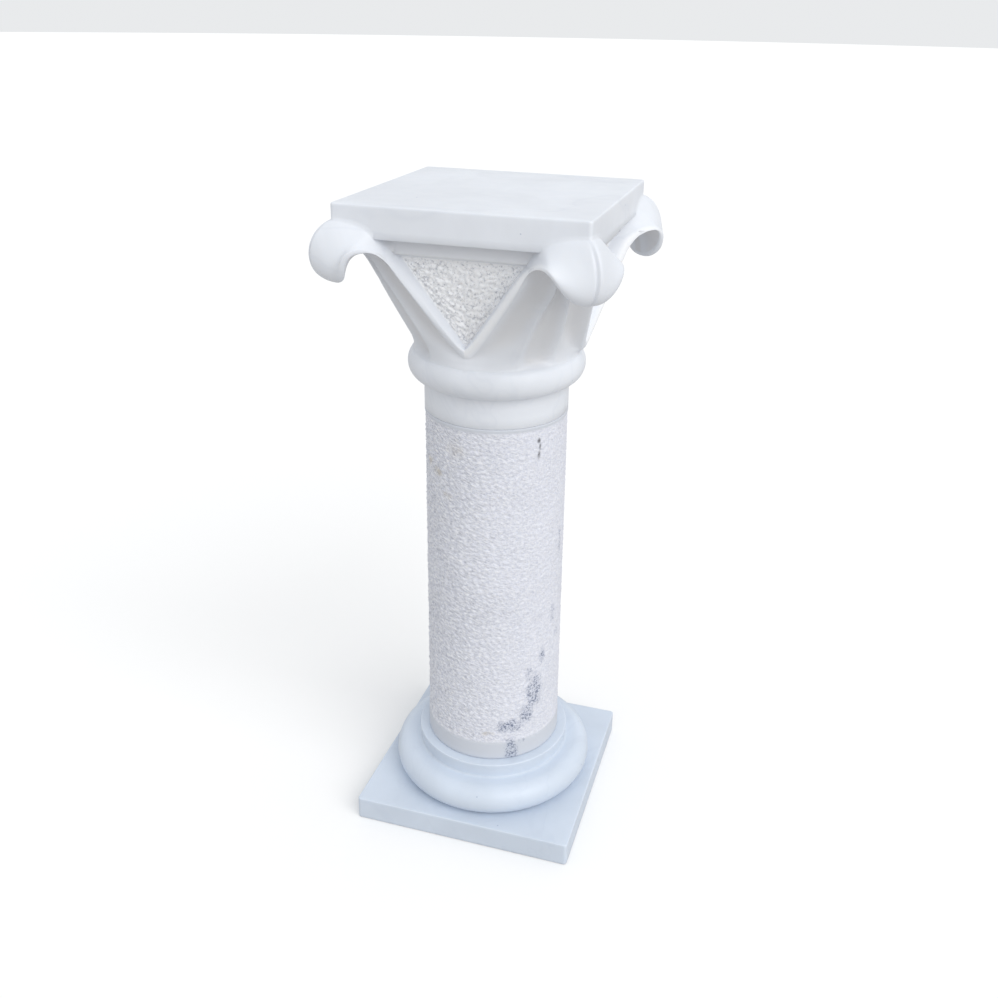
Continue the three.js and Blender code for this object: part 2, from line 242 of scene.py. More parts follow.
# Angles at which sections are drawn, closer together where the shape turns fast
SLAB_STEP = 0.75
NEAR_CORNER = (0.22, 0.45, 0.7, 1.0, 1.6, 2.4)
CORNER_GAP = 3.2
SHAFT_COLUMNS = 340
NEAR_VEIN = (1.7, 1.45, 1.2, 1.0, 0.8, 0.6, 0.45, 0.3, 0.15, 0.0)
PANEL_COLUMNS = 46
HOOD_COLUMNS = 25
CORNER_SPLIT = 0.05
VEIN_SIDE = 2

# Unevenness of the carving: right, back, left and front face
UNEVEN_FACES = (
    {"turn": 0, "belly": 11, "drop": 9},
    {"turn": 0, "belly": 0, "drop": 0},
    {"turn": 0, "belly": 0, "drop": 0},
    {"turn": -3.4, "belly": 0, "drop": 0},
)

# The hoods on the diagonals back right, back left, front left and front right. Each edge runs over the
# top of an arch and round a lip to the tip. Places are out along the diagonal, across it and up.
# "crook" is how far the edge runs on outward past the arch, "swell" how much the hood stands out, and
# "vein" how many degrees the groove lies off the diagonal.
HOODS = (
    {"arch": (229, 57, 936), "tip": (243, 0, 884), "lip": 47, "crook": 27, "swell": 12, "vein": 0},
    {"arch": (227, 54, 940), "tip": (239, 0, 892), "lip": 42, "crook": 30, "swell": 4, "vein": 0},
    {"arch": (227, 53.6, 942), "tip": (237, 0, 895), "lip": 45.5, "crook": 37, "swell": 11, "vein": 0},
    {"arch": (228, 53.5, 938), "tip": (243, 0, 894), "lip": 36, "crook": 23, "swell": 1, "vein": -1},
)

# Natural marks on the shaft, as angle, height, half width, half height and strength
BLUE_PATCHES = (
    (-5, 470, 6, 30, 0.55),
    (-14, 354, 9, 22, 0.5),
    (-7, 310, 7, 10, 0.5),
    (-27, 286, 7, 15, 0.75),
    (-41, 263, 7, 13, 0.55),
    (-36, 224, 15, 30, 0.85),
    (-43, 188, 13, 18, 0.85),
    (-58, 170, 22, 12, 0.9),
    (-57, 126, 11, 22, 0.95),
    (-48, 139, 13, 4, 0.5),
)
RUST_PATCHES = (
    (-138, 605, 8, 7, 0.6),
    (-127, 596, 9, 6, 0.6),
    (-116, 564, 8, 5, 0.4),
    (-77, 158, 8, 3, 0.7),
    (-106, 640, 14, 10, 0.25),
)
BLACK_MARKS = (
    (-37, 657, 2.0, 3.5, 1.0),
    (-36, 647, 1.4, 4.0, 1.0),
    (-37, 635, 1.8, 5.0, 1.0),
)
PATCH_CORE = 1.25             # a patch is full in its core and fades by this much for each half width
PATCH_FADE = 0.7

DIAGONAL = 45.0
MERGE_DISTANCE = 1e-4
TINY = 1e-6


# Curves and meshes

def mix(a, b, f):
    return a + (b - a) * f


def clamp01(v):
    return np.clip(v, 0.0, 1.0)


def smooth(v):
    v = clamp01(v)
    return v * v * (3 - 2 * v)


def bezier(points, f):
    """Points at fractions f of a cubic Bezier curve."""
    p = np.asarray(points, float)
    f = np.asarray(f, float)[:, None]
    g = 1 - f
    return g**3 * p[0] + 3 * g * g * f * p[1] + 3 * g * f * f * p[2] + f**3 * p[3]


def arc(centre, radius, start, end, count):
    """Points of a circular arc in a half section, angles in degrees from straight out."""
    a = np.radians(np.linspace(start, end, count))
    return np.stack([centre[0] + radius * np.cos(a), centre[1] + radius * np.sin(a)], 1)


def line(a, b, count=2):
    return np.linspace(a, b, count)


def lengths(points):
    """Length along a polyline up to each of its points."""
    steps = np.linalg.norm(np.diff(points, axis=0), axis=1)
    return np.concatenate([[0.0], np.cumsum(steps)])


def cut(points, start, end, count):
    """The part of a polyline between two lengths along it, as evenly spaced points."""
    along = lengths(points)
    wanted = np.linspace(start, max(end, start), count)
    return np.stack([np.interp(wanted, along, points[:, k]) for k in (0, 1)], 1)


def rounded_join(first, second, radius, counts):
    """Two polylines that meet in a corner, drawn again with the corner rounded off."""
    long_first = lengths(first)[-1]
    long_second = lengths(second)[-1]
    near = min(radius, LARGEST_ROUNDING * long_first, LARGEST_ROUNDING * long_second)
    a = cut(first, 0, long_first - near, counts[0])
    b = cut(second, near, long_second, counts[2])
    corner = first[-1]
    f = np.linspace(0, 1, counts[1] + 2)[1:-1, None]
    bend = (1 - f) ** 2 * a[-1] + 2 * f * (1 - f) * corner + f * f * b[0]
    return np.concatenate([a, bend, b])


def side_reach(distance, off_middle, corner=CORNER):
    """Reach of a square's side, with rounded corners, at an angle off the middle of that side."""
    turn = np.radians(abs(off_middle))
    flat = distance - corner
    if math.tan(turn) * distance <= flat:
        return distance / math.cos(turn)
    ahead = flat * (math.cos(turn) + math.sin(turn))
    return ahead + math.sqrt(max(0.0, corner**2 - 2 * flat**2 + ahead**2))


def angle_off_side(angle):
    """Angle off the middle of the nearest side of a square."""
    turn = angle % 90
    return turn - 90 if turn > DIAGONAL else turn


def grain(x, y, z, size):
    """Smooth noise from -1 to 1 at a point in millimetres, with features of the given size."""
    return noise.noise(Vector((x / size, y / size, z / size)))


# Real wear of the arrises; the mesh values of the same name hold the painted highlight on the leaves' rims
def wear_and_painted_highlight(angle, reach, z, size, amount):
    """How far wear has taken an arris back at a place."""
    x = reach * math.cos(math.radians(angle))
    y = reach * math.sin(math.radians(angle))
    broad = grain(x, y, z, size)
    narrow = grain(x, y, z + APART, size / NARROWER)
    return amount * (BROAD_WEAR + BROAD_WEAR * broad + NARROW_WEAR * narrow)


def round_points(angles, sections):
    """Points in space of half sections that stand at the given angles."""
    turns = np.radians(angles)[:, None]
    reaches = sections[..., 0]
    return np.stack([reaches * np.cos(turns), reaches * np.sin(turns), sections[..., 1]], -1)


def skin_triangles(points):
    """Triangles between neighbouring sections. Points that fall together in a section are merged."""
    columns, rows = points.shape[:2]
    index = np.arange(columns * rows).reshape(columns, rows)
    same = np.linalg.norm(np.diff(points, axis=1), axis=2) < MERGE_DISTANCE
    for j in range(1, rows):
        index[:, j] = np.where(same[:, j - 1], index[:, j - 1], index[:, j])
    index[:, 0] = index[0, 0]
    index[:, -1] = index[0, -1]
    after = np.roll(index, -1, axis=0)
    a = index[:, :-1]
    b = after[:, :-1]
    c = after[:, 1:]
    d = index[:, 1:]
    triangles = np.concatenate([np.stack([a, b, c], -1), np.stack([a, c, d], -1)]).reshape(-1, 3)
    keep = (triangles[:, 0] != triangles[:, 1]) & (triangles[:, 1] != triangles[:, 2])
    keep &= triangles[:, 2] != triangles[:, 0]
    return triangles[keep]


def column_mesh(name, angles, sections, paint=None):
    """Closed mesh from upright half sections at the given angles, in millimetres.
    The first and last point of each section lie on the axis.
    "paint" holds values between 0 and 1 for every point, by the name that a material reads."""
    points = round_points(np.asarray(angles, float), np.asarray(sections, float))
    used, triangles = np.unique(skin_triangles(points), return_inverse=True)
    mesh = bpy.data.meshes.new(name)
    mesh.from_pydata((points.reshape(-1, 3)[used] * MM).tolist(), [], triangles.reshape(-1, 3).tolist())
    mesh.validate()
    mesh.polygons.foreach_set("use_smooth", np.ones(len(mesh.polygons), bool))
    for label, values in (paint or {}).items():
        layer = mesh.attributes.new(label, "FLOAT", "POINT")
        layer.data.foreach_set("value", np.asarray(values, float).reshape(-1)[used])
    piece = bpy.data.objects.new(name, mesh)
    bpy.context.scene.collection.objects.link(piece)
    return piece


# Base block

def slab_angles():
    """Angles round the axis, closer together at the corners of the square slabs."""
    near_corner = [-turn for turn in NEAR_CORNER] + [0] + list(NEAR_CORNER)
    half_side = DIAGONAL - CORNER_GAP
    angles = []
    for side in range(4):
        middle = 90 * side
        angles += list(np.arange(middle - half_side, middle + half_side + TINY, SLAB_STEP))
        angles += [middle + DIAGONAL + turn for turn in near_corner]
    return sorted(angle % 360 for angle in angles)


def base_section(angle):
    """Half section through plinth, torus and ring."""
    side = side_reach(SLAB_HALF, angle_off_side(angle))
    wear = wear_and_painted_highlight(angle, side, PLINTH_HEIGHT, WEAR_LENGTH, PLINTH_WEAR)
    wear_foot = wear_and_painted_highlight(angle, side, 0, FOOT_WEAR_LENGTH, FOOT_WEAR)
    torus_radius = (TORUS_TOP - PLINTH_HEIGHT) / 2
    centre = (TORUS_REACH - torus_radius, PLINTH_HEIGHT + torus_radius)
    middle = (side, PLINTH_HEIGHT / 2)
    underside = line((0, 0), (side, 0))
    top = line((side, PLINTH_HEIGHT), (centre[0] + TORUS_MARGIN, PLINTH_HEIGHT))
    lower = rounded_join(underside, line((side, 0), middle), FOOT_ARRIS + wear_foot, FOOT_ROWS)
    upper = rounded_join(line(middle, (side, PLINTH_HEIGHT)), top, PLINTH_ARRIS + wear, PLINTH_ROWS)
    torus = arc(centre, torus_radius, TORUS_START, 90, TORUS_ROWS)
    ring_foot = (RING_RADIUS - RING_LEAN, TORUS_TOP)
    ring_head = (RING_RADIUS, BASE_TOP)
    inner = line(torus[-1], ring_foot, GAP_ROWS)[1:-1]
    ring = rounded_join(line(ring_foot, ring_head), line(ring_head, (0, BASE_TOP)), RING_ARRIS, RING_ROWS)
    return np.concatenate([lower, upper[1:], torus, inner, ring])


def make_base():
    angles = slab_angles()
    return column_mesh("marble_base", angles, [base_section(angle) for angle in angles])


# Shaft block

def tooling(angle, z):
    """Height of the rough tooled surface, from 0 in the pits to 1, made of short slanting strokes."""
    around = math.radians(angle) * SHAFT_RADIUS
    slant = math.radians(STROKE_SLANT)
    wobble = WOBBLE * noise.noise(Vector((around / WOBBLE_LENGTH, z / WOBBLE_LENGTH, WOBBLE_PLANE)))
    along = around * math.cos(slant) + z * math.sin(slant)
    across = -around * math.sin(slant) + z * math.cos(slant) + wobble
    stroke = noise.noise(Vector((along / STROKE_LENGTH, across / STROKE_WIDTH, STROKE_PLANE)))
    patch = noise.noise(Vector((around / PATCH_LENGTH, z / PATCH_LENGTH, PATCH_PLANE)))
    return 0.5 + STROKE_SHARE * stroke + PATCH_SHARE * patch


def tooled_height(angle, z):
    """The same all round the shaft: two runs of strokes cross over at the back."""
    turn = (angle - BACK) % 360
    if turn > CROSSING:
        return tooling(turn, z)
    return mix(tooling(turn + 360, z), tooling(turn, z), smooth(turn / CROSSING))


def patches(angles, heights, places):
    """How strongly the patches show at each place on the shaft, from 0 to 1."""
    total = np.zeros((len(angles), len(heights)))
    for angle, z, half_width, half_height, strength in places:
        turn = (np.asarray(angles)[:, None] - angle + 180) % 360 - 180
        around = np.radians(turn) * SHAFT_RADIUS / half_width
        away = np.hypot(around, (np.asarray(heights)[None, :] - z) / half_height)
        total = np.maximum(total, strength * smooth(PATCH_CORE - PATCH_FADE * away))
    return total


def shaft_levels():
    """Heights of the rows on the shaft's side: smooth band, tooling, smooth margin."""
    tooling_top = SHAFT_TOP - MARGIN_HEIGHT
    return np.concatenate([
        np.linspace(SHAFT_FOOT + JOINT_ARRIS, BAND_TOP, BAND_ROWS),
        np.linspace(BAND_TOP + EDGE_ROW, tooling_top - EDGE_ROW, TOOLED_ROWS),
        np.linspace(tooling_top, SHAFT_TOP - JOINT_ARRIS, MARGIN_ROWS),
    ])


def boldness(angle):
    """From 0 on the side where the tooling is finest to 1 where it is boldest."""
    return 0.5 + 0.5 * math.cos(math.radians(angle - BOLDEST))


def shaft_section(angle, levels, inside):
    """Half section of the shaft. "inside" is 0 on the smooth band and margin and 1 on the tooling."""
    height = np.array([tooled_height(angle, z) if i > 0 else 1.0 for z, i in zip(levels, inside)])
    depth = mix(LEAST_DEPTH, MOST_DEPTH, boldness(angle))
    reach = SHAFT_RADIUS - inside * depth * (1 - clamp01(height))
    foot = [(0, SHAFT_FOOT), (SHAFT_RADIUS - JOINT_ARRIS, SHAFT_FOOT)]
    head = [(SHAFT_RADIUS - JOINT_ARRIS, SHAFT_TOP), (0, SHAFT_TOP)]
    return np.concatenate([foot, np.stack([reach, levels], 1), head])


def make_shaft():
    angles = np.arange(SHAFT_COLUMNS) * 360 / SHAFT_COLUMNS
    levels = shaft_levels()
    below_top = SHAFT_TOP - MARGIN_HEIGHT - levels
    inside = smooth((levels - BAND_TOP) / TOOLING_START) * smooth(below_top / TOOLING_END)
    sections = [shaft_section(angle, levels, inside) for angle in angles]
    rough = np.concatenate([[0, 0], inside, [0, 0]])
    # How strongly the strokes' painted shade and painted highlight show, most where the tooling is boldest
    painted_stroke_light_and_shade = [rough * mix(LEAST_BOLD, 1, boldness(angle) ** BOLD_NARROWING) for angle in angles]
    heights = sections[0][:, 1]
    paint = {
        "rough": [rough] * len(angles),
        "painted_stroke_light_and_shade": painted_stroke_light_and_shade,
        "blue": patches(angles, heights, BLUE_PATCHES),
        "rust": patches(angles, heights, RUST_PATCHES),
        "black": patches(angles, heights, BLACK_MARKS),
    }
    return column_mesh("marble_shaft", angles, sections, paint)


# Capital block

def v_edge(z):
    """The straight edge of the V at a height, as sideways and outward places."""
    over = np.sqrt(np.maximum(0, (z - V_ROOT_HEIGHT) ** 2 - V_ROUNDING**2))
    return V_SPREAD * over, V_ROOT_REACH + V_REACH_SLOPE * (z - V_ROOT_HEIGHT)


def to_leaf(x, y):
    """From sideways and outward at a face to outward and across at the leaf on the diagonal."""
    return (x + y) / math.sqrt(2), (y - x) / math.sqrt(2)


def leaf_edge(hood):
    """The leaf's edge from mid face along the V, over the arch and to the tip, as off, reach, height."""
    x = np.linspace(0, V_END, V_POINTS)
    z = V_ROOT_HEIGHT + np.hypot(x / V_SPREAD, V_ROUNDING)
    s, t = to_leaf(*v_edge(z))
    straight = np.stack([s, t, z], 1)
    end = straight[-1]
    leave = end + (end - straight[-TANGENT_POINTS]) * RISE_HANDLE
    arch = np.array(hood["arch"], float)
    tip = np.array(hood["tip"], float)
    rise = bezier([end, leave, arch + ARCH_APPROACH, arch], np.linspace(0, 1, RISE_POINTS))
    over_arch = arch + (hood["crook"], CROOK_ACROSS, CROOK_UP)
    under_lip = (tip[0], hood["lip"], tip[2] - LIP_DROP)
    lip = bezier([arch, over_arch, under_lip, tip], np.linspace(0, 1, LIP_POINTS))
    out, across, up = np.concatenate([straight, rise[1:], lip[1:]]).T
    return np.degrees(np.arctan2(across, out)), np.hypot(out, across), up


LEAF_EDGES = [leaf_edge(hood) for hood in HOODS]
PANEL_CORNER = DIAGONAL - math.degrees(math.atan2(PANEL_HEAD[0], PANEL_HEAD[1]))


def edge_at(column):
    """Reach and height of the leaf's edge at a column's angle off the diagonal."""
    offs, reaches, heights = LEAF_EDGES[column["hood"]]
    reach = np.interp(-column["off"], -offs, reaches)
    height = np.interp(-column["off"], -offs, heights)
    return np.array([reach, height])


def stem_reach(z, off):
    """Reach of the leaf's stem at a height: a bowed line across the leaf from edge to edge."""
    s, t = to_leaf(*v_edge(z))
    middle = STEM_START + STEM_SLOPE * (z - STEM_FOOT)
    cosine = math.cos(math.radians(off))
    bow = (middle - s) / (t * t)
    square = np.maximum(bow * math.sin(math.radians(off)) ** 2, 1e-9)
    return (np.sqrt(cosine * cosine + 4 * square * middle) - cosine) / (2 * square)


def below_rim(r, z, off):
    """Distance down the leaf from the rim of the V, square to the rim."""
    sideways = r * math.sin(math.radians(DIAGONAL - off)) / V_SPREAD
    level = np.hypot(sideways, V_ROUNDING)
    slope = sideways / (V_SPREAD * level)
    return np.maximum(V_ROOT_HEIGHT + level - z, 0) / np.hypot(1, slope)


def flute_depth(r, z, off):
    """Depth of the middle flute, and of the channel that runs under the rim and round the V's foot."""
    across = r * math.sin(math.radians(off))
    climb = clamp01((z - STEM_FOOT) / (RIDGE_HEAD_HEIGHT - STEM_FOOT))
    ridge = mix(RIDGE_FOOT, RIDGE_HEAD, climb**RIDGE_BOW)
    below = below_rim(r, z, off) + TINY
    open_up = smooth((z - CHANNEL_FOOT) / CHANNEL_HEIGHT)
    lean = mix(CHANNEL_SKEW, 1, open_up)
    channel = below / (below + lean * np.maximum(across - ridge, 0))
    in_channel = smooth((across - ridge) / RIDGE_WIDTH)
    f = np.where(across < ridge, (across / ridge + 1) / 2, channel)
    depth = FLUTE_DEPTH * 4 * f * (1 - f) * mix(1, mix(CHANNEL_SHARE, 1, open_up), in_channel)
    soft = np.hypot(depth, FLUTE_SOFTNESS) - FLUTE_SOFTNESS
    return soft * smooth((z - STEM_FOOT) / FLUTE_FADE)


def under_leaf(off, edge):
    """Fine profile under the leaf, up the stem and through the hollow to the leaf's edge."""
    v_top = edge[1] - RIM_START * (edge[1] - STEM_FOOT)
    top = STEM_TOP if off < ARCH_ANGLE else min(STEM_TOP, v_top)
    z = np.linspace(STEM_FOOT, top, STEM_POINTS)
    off = DIAGONAL - math.hypot(DIAGONAL - off, STEM_MEETING)
    r = stem_reach(z, off)
    flare = STEM_FLARE * (1 - clamp01((z - STEM_FOOT) / FLARE_HEIGHT)) ** 2
    stem = np.stack([r + flare - flute_depth(r, z, off), z], 1)
    head = stem[-1]
    below, plain = stem_reach(np.array([top - 1.0, top]), off)
    in_hood = smooth((HOOD_BLEND_ANGLE - off) / (HOOD_BLEND_ANGLE - ARCH_ANGLE))
    rise = mix(RIM_HANDLE * (edge[1] - top), HOLLOW_RISE, in_hood)
    leave = (head[0] + (plain - below) * rise, top + rise)
    handle = (8 * HOLLOW_TOP - STEM_TOP - 3 * (STEM_TOP + HOLLOW_RISE) - edge[1]) / 3
    share = clamp01(off / ARCH_ANGLE) ** 3
    hollow_reach = mix(edge[0] - HOLLOW_INSET, mix(edge[0], plain, HOLLOW_REACH), share)
    over = (
        mix(mix(edge[0], plain, RIM_REACH), hollow_reach, in_hood),
        mix(mix(edge[1], top, RIM_DROP), handle, in_hood),
    )
    roof = bezier([head, leave, over, edge], np.linspace(0, 1, ROOF_POINTS))
    return np.concatenate([stem, roof[1:]])


def panel_edge(off):
    """Where the panel's slanting side edge lies at an angle off the diagonal, out and up."""
    slant = math.tan(math.radians(DIAGONAL - off))
    climb = slant * PANEL_FOOT[0] / (PANEL_HEAD[0] - slant * (PANEL_HEAD[1] - PANEL_FOOT[0]))
    return mix(PANEL_FOOT[0], PANEL_HEAD[1], climb), mix(PANEL_FOOT[1], PANEL_HEAD[2], climb)


def inner_edge(off, off_face):
    """Where the leaf's upper side ends: on the abacus, under its edge, or at the panel."""
    side = side_reach(SLAB_HALF, off_face)
    strip = STRIP_REACH / math.cos(math.radians(off_face))
    if off <= HOOD_HALF_ANGLE:
        past = off / HOOD_HALF_ANGLE
        return np.array([side, ABACUS_FOOT + HOOD_RISE * (1 - past * past) ** HOOD_FOOT_ROUND])
    if off <= PANEL_CORNER:
        beyond = (PANEL_CORNER - off) / (PANEL_CORNER - HOOD_HALF_ANGLE)
        return np.array([mix(strip, side, beyond), mix(STRIP_FOOT, ABACUS_FOOT, beyond)])
    out, height = panel_edge(off)
    return np.array([out / math.cos(math.radians(off_face)), height])


def hood_curve(column, edge, inner):
    """Fine profile over the hood or band, from the leaf's edge to its inner edge."""
    off = column["off"]
    swell = column["swell"]
    full = (1 + math.cos(math.pi * min(off / BULGE_END, 1))) / 2
    span = inner - edge
    lift = np.array([span[1], -span[0]]) * BAND_CROWN / math.hypot(*span)
    rolled = column["rolled"] * smooth((off - ARCH_ANGLE) / ROLL_SPREAD)
    band_out = mix(BAND_LEAVE * span + lift, math.hypot(*span) * np.array(ROLL_LEAN), rolled)
    band_over = lift - BAND_LEAVE * span
    hood_over = np.array([HOOD_SHOULDER + swell, -SHOULDER_DROP])
    out = edge + full * np.array([HOOD_BULGE + swell, 0]) + (1 - full) * band_out
    over = inner + full * hood_over + (1 - full) * band_over
    f = np.linspace(0, 1, HOOD_POINTS)
    curve = bezier([edge, out, over, inner], f)
    off_vein = abs(column["signed_off"] - column["vein"])
    curve[:, 0] -= VEIN_DEPTH * smooth(1 - off_vein / VEIN_HALF_ANGLE) * (1 - f**VEIN_FADE)
    return curve


def abacus_skin(column, last):
    """From the leaf's inner edge up the cove, out under the abacus and over it to the middle of its top."""
    off = column["off"]
    off_face = column["off_face"]
    widen = 1 / math.cos(math.radians(off_face))
    side = side_reach(SLAB_HALF, off_face)
    if off > HOOD_HALF_ANGLE:
        foot = STRIP_FOOT if off > PANEL_CORNER else last[1] - 1
        f = np.linspace(0, 1, COVE_ROWS)
        cove = (STRIP_REACH + COVE_LEAD - COVE_DEPTH * np.sqrt(1 - (1 - f) ** 2)) * widen
        rise = np.stack([cove, mix(foot, ABACUS_FOOT, f)], 1)
        soffit = line((cove[-1], ABACUS_FOOT), (side - 1, ABACUS_FOOT), SOFFIT_ROWS + 1)[1:]
        start = (side, ABACUS_FOOT + 1)
    else:
        rise = np.repeat([last], COVE_ROWS, 0)
        soffit = np.repeat([last], SOFFIT_ROWS, 0)
        start = tuple(last)
    wear = wear_and_painted_highlight(column["angle"], side, TOTAL_HEIGHT, WEAR_LENGTH, ABACUS_WEAR)
    face = line(start, (side, TOTAL_HEIGHT))
    top = line((side, TOTAL_HEIGHT), (0, TOTAL_HEIGHT))
    return np.concatenate([rise, soffit, rounded_join(face, top, ARRIS + wear, SLAB_ROWS)])


def rough_panel(column, inner):
    """The sunk panel, from its side edge up to its head, hacked all over with a point."""
    if column["off"] <= PANEL_CORNER:
        return np.repeat([inner], PANEL_ROWS + 1, 0)
    widen = 1 / math.cos(math.radians(column["off_face"]))
    foot = inner - (PANEL_SINK * widen, 0)
    head = ((PANEL_HEAD[1] - PANEL_SINK) * widen, PANEL_HEAD[2])
    panel = line(foot, head, PANEL_ROWS)
    angle = math.radians(column["angle"])
    for row in panel[1:-1]:
        x = row[0] * math.cos(angle)
        y = row[0] * math.sin(angle)
        small = grain(x, y, row[1] + SMALL_CHIP_PLACE, SMALL_CHIP_LENGTH)
        chips = grain(x, y, row[1], CHIP_LENGTH) + SMALL_CHIP_SHARE * small
        from_edge = min(row[1] - foot[1], head[1] - row[1])
        row[0] += PANEL_ROUGHNESS * chips * clamp01(from_edge / PANEL_MARGIN)
    ledge = np.array([(PANEL_HEAD[1] * widen, PANEL_HEAD[2] + PANEL_LEDGE)])
    return np.concatenate([panel, ledge])


def leaf_profile(column):
    """Under the leaf, round its rim and over it to the abacus or the panel."""
    off = column["off"]
    reach, height = edge_at(column)
    under = under_leaf(off, np.array([reach, height]))
    share = smooth((under[:, 1] - STEM_FOOT) / (height - STEM_FOOT))
    under[:, 0] += column["belly"] * share
    under[:, 1] -= column["drop"] * share
    edge = np.array([reach + column["belly"], height - column["drop"]])
    over = hood_curve(column, edge, inner_edge(off, column["off_face"]))
    rounding = mix(HOOD_ROUNDING, RIM_ROUNDING, smooth((off - ARCH_ANGLE) / ROUNDING_SPREAD))
    return rounded_join(under, over, rounding, LEAF_ROWS)


def necking_and_astragal():
    """From the axis over the capital's bed, up the necking and round the astragal to the leaves."""
    radius = (ASTRAGAL_TOP - NECKING_TOP) / 2
    centre = (ASTRAGAL_REACH - radius, NECKING_TOP + radius)
    bed = [(0, CAPITAL_FOOT), (BED_RADIUS, CAPITAL_FOOT), (SHAFT_RADIUS - JOINT_ARRIS, CAPITAL_FOOT)]
    necking_foot = (SHAFT_RADIUS, CAPITAL_FOOT + JOINT_ARRIS)
    necking = line(necking_foot, (SHAFT_RADIUS, NECKING_TOP - NECKING_MARGIN), NECKING_ROWS)
    astragal = arc(centre, radius, ASTRAGAL_START, ASTRAGAL_END, ASTRAGAL_ROWS)
    return np.concatenate([bed, necking, astragal])


def capital_section(column):
    """Half section of the capital, always with the same number of points, and what is painted on it."""
    off = column["off"]
    foot = necking_and_astragal()
    leaf = leaf_profile(column)
    panel = rough_panel(column, leaf[-1])
    points = np.concatenate([foot, leaf, panel, abacus_skin(column, leaf[-1])])
    first_leaf = len(foot)
    first_panel = first_leaf + len(leaf)
    first_cove = first_panel + len(panel)
    rim_row = first_leaf + UNDER_ROWS

    rough = np.zeros(len(points))
    if off > PANEL_CORNER:
        rough[first_panel:first_panel + PANEL_ROWS] = 1.0

    # Painted highlight along the rolled rim, on one half of each leaf only
    rim_highlight = np.zeros(len(points))
    along_rim = column["rolled"] * smooth((off - HIGHLIGHT_ANGLE) / HIGHLIGHT_SPREAD)
    across_rim = np.sin(np.linspace(HIGHLIGHT_START, math.pi, HIGHLIGHT_ROWS))
    rim_highlight[rim_row:rim_row + HIGHLIGHT_ROWS] = across_rim * along_rim

    # Painted shade under the leaves, deepest in the flutes, and in the cove under the abacus
    painted_shade = np.zeros(len(points))
    reaches, heights = leaf[:UNDER_ROWS].T
    groove = flute_depth(reaches, np.minimum(heights, STEM_TOP), off) / FLUTE_DEPTH
    painted_shade[first_leaf:rim_row] = mix(PAINTED_SHADE_PLAIN, 1, smooth(PAINTED_SHADE_GAIN * groove))
    if off > HOOD_HALF_ANGLE:
        painted_shade[first_cove:first_cove + COVE_ROWS] = COVE_PAINTED_SHADE
    return points, rough, painted_shade, rim_highlight


def leaf_offs():
    """Angles off the diagonal at which each half leaf is drawn, close together near the vein."""
    panel = np.linspace(DIAGONAL, PANEL_CORNER + CORNER_SPLIT, PANEL_COLUMNS)
    hood = np.linspace(PANEL_CORNER - CORNER_SPLIT, VEIN_SIDE, HOOD_COLUMNS)
    return list(panel) + list(hood) + list(NEAR_VEIN)


def capital_column(face, sense, off):
    """What the section at one angle has to know. "sense" is the half of the face, -1 or 1."""
    uneven = UNEVEN_FACES[face]
    hood = (face + (3 if sense < 0 else 0)) % 4
    share = math.sin(math.radians(2 * off)) ** 2
    off_face = sense * (DIAGONAL - off) + uneven["turn"] * share
    return {
        "angle": face * 90 + off_face,
        "hood": hood,
        "off": off,
        "signed_off": -sense * off,
        "off_face": off_face,
        "rolled": 1 if sense > 0 else 0,
        "belly": uneven["belly"] * share,
        "drop": uneven["drop"] * share,
        "swell": HOODS[hood]["swell"] * smooth(SWELL_REACH - off / HOOD_HALF_ANGLE),
        "vein": HOODS[hood]["vein"],
    }


def capital_columns():
    """Columns all round the capital. Where two halves meet, only one of them draws the shared one."""
    columns = []
    for face in range(4):
        for sense in (-1, 1):
            left_out = 0 if sense == 1 else DIAGONAL
            columns += [capital_column(face, sense, off) for off in leaf_offs() if off != left_out]
    return sorted(columns, key=lambda column: column["angle"])


def make_capital():
    columns = capital_columns()
    sections, rough, painted_shade, rim_highlight = zip(*(capital_section(column) for column in columns))
    angles = [column["angle"] for column in columns]
    # Painted shade under the leaves and in the cove, and painted highlight on the rolled rims
    paint = {"rough": rough, "painted_shade": painted_shade, "wear_and_painted_highlight": rim_highlight}
    return column_mesh("marble_capital", angles, sections, paint)


# Materials

# Bluish stone of the base, also darkened as painted shade on the lower block
BASE_TINT = (0.63, 0.70, 0.80, 1)
SHAFT_TINT = (0.70, 0.72, 0.81, 1)
BAND_TINT = (0.61, 0.64, 0.70, 1)
CAPITAL_TINT = (0.755, 0.785, 0.84, 1)
PANEL_TINT = (0.90, 0.91, 0.935, 1)
# Colour of the painted shade under the leaves and in the cove
PAINTED_SHADE_TINT = (0.68, 0.685, 0.705, 1)
# Colour of the painted highlight on the leaves' rims and on the crests of the shaft's strokes
HIGHLIGHT_TINT = (0.93, 0.94, 0.96, 1)
# Used as painted shade in the strokes' pits, and for the darker pits of the grain
PIT_TINT = (0.33, 0.35, 0.41, 1)
BLUE_TINT = (0.30, 0.36, 0.50, 1)
DARK_TINT = (0.12, 0.15, 0.24, 1)
RUST_TINT = (0.50, 0.42, 0.27, 1)
BLACK_TINT = (0.07, 0.07, 0.08, 1)
FLOOR_TINT = (0.97, 0.97, 0.97, 1)
BOUNCE_TINT = (0.57, 0.56, 0.55, 1)
SKY_TINT = (0.97, 0.985, 1.0, 1)

